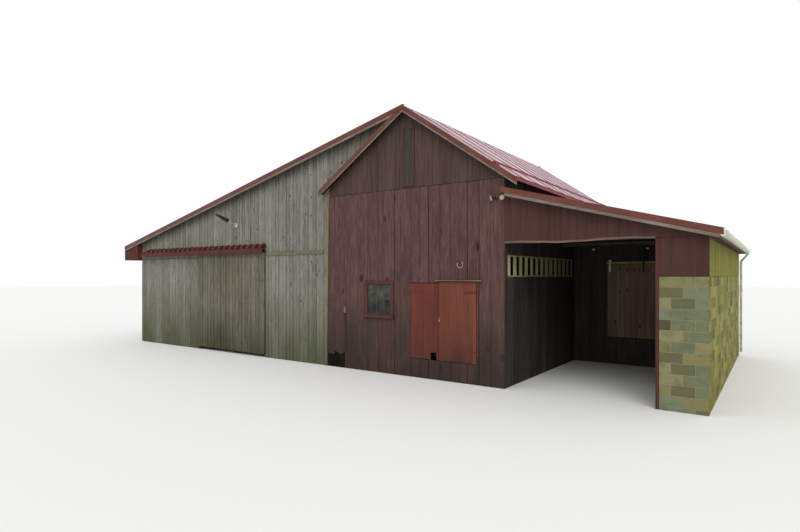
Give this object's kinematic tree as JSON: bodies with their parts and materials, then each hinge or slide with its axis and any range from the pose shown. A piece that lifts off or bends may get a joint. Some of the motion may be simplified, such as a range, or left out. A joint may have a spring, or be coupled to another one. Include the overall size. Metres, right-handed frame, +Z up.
{
  "type": "gabled barn with side wing and open shed",
  "caption": "Timber barn in three parts: a gabled middle with a double door, a long wing with a sliding door and an open lean-to shed, under one metal roofline.",
  "frame": {"origin": "under the centre line of the front sill, below the ridge, at the lowest ground", "axes": "+X along the front to the right, +Y to the back, +Z up"},
  "size_m": [20.2153, 10.0343, 6.7999],
  "materials": {
    "red_boards": "weathered dark red paint on vertical boards",
    "dark_boards": "dark bare boards",
    "slat_wood": "pale bare slats",
    "grey_boards": "bare weathered boards, grey with a green cast",
    "red_panel": "weathered red paint on plywood",
    "eave_boards": "weathered red paint on boards",
    "blocks": "rough concrete blocks",
    "green_boards": "bare boards with yellow-green growth",
    "frame_timber": "rough sawn timber",
    "roof_metal": "ribbed sheet, chalked red paint",
    "red_trim": "satin red paint",
    "pale_boards": "pale painted boards",
    "gutter_metal": "white paint with green growth",
    "bare_timber": "bare timber",
    "window_paint": "weathered red paint",
    "window_glass": "clear",
    "vent_wood": "weathered dark paint",
    "door_paint": "weathered orange-red paint",
    "iron": "rusted",
    "plywood": "bare plywood",
    "rail_metal": "worn paint",
    "lamp_housing": "dark paint",
    "lamp_holder": "dark plastic"
  },
  "bodies": {
    "barn": {"red_front_wall": "red_boards", "gable_wall": "red_boards", "red_rear_wall": "red_boards", "side_wall": "dark_boards", "slat_band": "slat_wood", "wing_front_wall": "grey_boards", "wing_side_wall": "grey_boards", "wing_rear_wall": "grey_boards", "shed_front_wall": "red_panel", "block_walls": "blocks", "shed_side_boards": "green_boards", "shed_rear_wall": "red_boards", "cross_wall": "dark_boards", "sills": "frame_timber", "posts": "frame_timber", "beams": "frame_timber", "rafters": "frame_timber", "main_roof": "roof_metal", "old_roof": "roof_metal", "wing_roof": "roof_metal", "shed_roof": "roof_metal", "roof_trims": "red_trim", "roof_edge_boards": "pale_boards", "eave_boxes": "eave_boards", "gutter": "gutter_metal", "corner_strip": "bare_timber", "belt_board": "bare_timber", "window_frame": "window_paint", "window_glass": "window_glass", "gable_vent": "vent_wood", "drip_board": "bare_timber", "jamb_hinges": "iron", "horseshoe": "iron", "door_tracks": "rail_metal", "track_hood": "red_trim", "flood_lights": "lamp_housing", "yard_light": "lamp_housing", "shed_lamps": "lamp_holder"},
    "left_leaf": {"left_leaf": "door_paint", "left_hinges": "iron"},
    "right_leaf": {"right_leaf": "door_paint", "right_hinges": "iron", "latch": "iron"},
    "wing_door": {"wing_door": "grey_boards", "wing_door_hangers": "iron"},
    "inner_door": {"inner_door": "plywood", "inner_door_hangers": "rail_metal"}
  },
  "joints": [
    {"name": "left_leaf_hinge", "type": "hinge", "parent": "barn", "child": "left_leaf", "pos_m": [0.084, -0.115, 1.4], "axis": [0, 0, -1], "range_deg": [0, 115]},
    {"name": "right_leaf_hinge", "type": "hinge", "parent": "barn", "child": "right_leaf", "pos_m": [1.933, -0.115, 1.4], "axis": [0, 0, 1], "range_deg": [0, 115]},
    {"name": "wing_door_slide", "type": "slide", "parent": "barn", "child": "wing_door", "axis": [-1, 0, 0], "range_m": [0, 3.35]},
    {"name": "inner_door_slide", "type": "slide", "parent": "barn", "child": "inner_door", "axis": [1, 0, 0], "range_m": [0, 1.25]}
  ]
}
